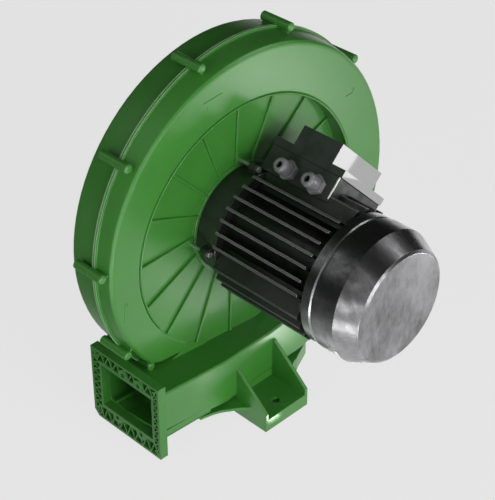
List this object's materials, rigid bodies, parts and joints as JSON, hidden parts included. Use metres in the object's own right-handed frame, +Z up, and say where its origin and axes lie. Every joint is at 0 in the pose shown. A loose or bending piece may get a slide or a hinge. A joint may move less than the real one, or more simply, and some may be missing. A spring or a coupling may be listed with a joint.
{
  "type": "centrifugal blower",
  "caption": "Centrifugal blower with a scroll casing in two moulded halves, a backward-curved impeller, a flanged motor with a fan cowl and terminal box, and a cored discharge flange.",
  "frame": {"origin": "on the ground, midway between the two foot bolt holes", "axes": "+Z up; the shaft runs along Y with the motor towards -Y and the inlet towards +Y; the duct opens to -X"},
  "size_m": [0.5206, 0.408, 0.538],
  "materials": {
    "moulded_green": "satin green moulded plastic",
    "dark_paint": "cast aluminium, near-black paint",
    "lid_alloy": "cast aluminium, dark grey paint",
    "cowl_steel": "drawn sheet, black gloss paint",
    "zinc_steel": "zinc plated",
    "shaft_steel": "ground",
    "wheel_alloy": "plain",
    "copper": "varnished copper wire",
    "seal_rubber": "matt",
    "fan_plastic": "matt black",
    "gland_plastic": "satin grey",
    "stud_brass": "plain"
  },
  "bodies": {
    "casing": {"front_casing": "moulded_green", "rear_casing": "moulded_green", "casing_screws": "zinc_steel", "discharge_flange": "moulded_green", "inlet_ring": "moulded_green", "inlet_screws": "zinc_steel", "inlet_guard": "zinc_steel", "guard_screws": "zinc_steel", "shaft_seal": "seal_rubber", "drive_bearing_outer": "zinc_steel", "drive_bearing_balls": "zinc_steel", "rear_bearing_outer": "zinc_steel", "rear_bearing_balls": "zinc_steel", "preload_washer": "zinc_steel", "drive_end_shield": "dark_paint", "motor_screws": "zinc_steel", "stator_frame": "dark_paint", "stator_core": "shaft_steel", "stator_windings": "copper", "rear_shield": "dark_paint", "tie_bolts": "zinc_steel", "fan_cowl": "cowl_steel", "cowl_screws": "zinc_steel", "terminal_box": "dark_paint", "box_screws": "zinc_steel", "box_gasket": "seal_rubber", "terminal_lid": "lid_alloy", "lid_screws": "zinc_steel", "terminal_block": "fan_plastic", "terminal_studs": "stud_brass", "earth_screw": "zinc_steel", "gland_bodies": "gland_plastic", "gland_nuts": "gland_plastic", "gland_seals": "seal_rubber"},
    "rotor": {"shaft": "shaft_steel", "rotor_core": "shaft_steel", "cooling_fan": "fan_plastic", "fan_clip": "zinc_steel", "impeller_hub": "wheel_alloy", "impeller_backplate": "wheel_alloy", "impeller_blades": "wheel_alloy", "impeller_shroud": "wheel_alloy", "hub_washer": "zinc_steel", "hub_bolt": "zinc_steel", "hub_key": "zinc_steel", "drive_bearing_inner": "zinc_steel", "rear_bearing_inner": "zinc_steel"}
  },
  "joints": [
    {"name": "rotor_spin", "type": "hinge", "parent": "casing", "child": "rotor", "pos_m": [0.0185, 0.01, 0.278], "axis": [0, 1, 0], "continuous": true}
  ]
}
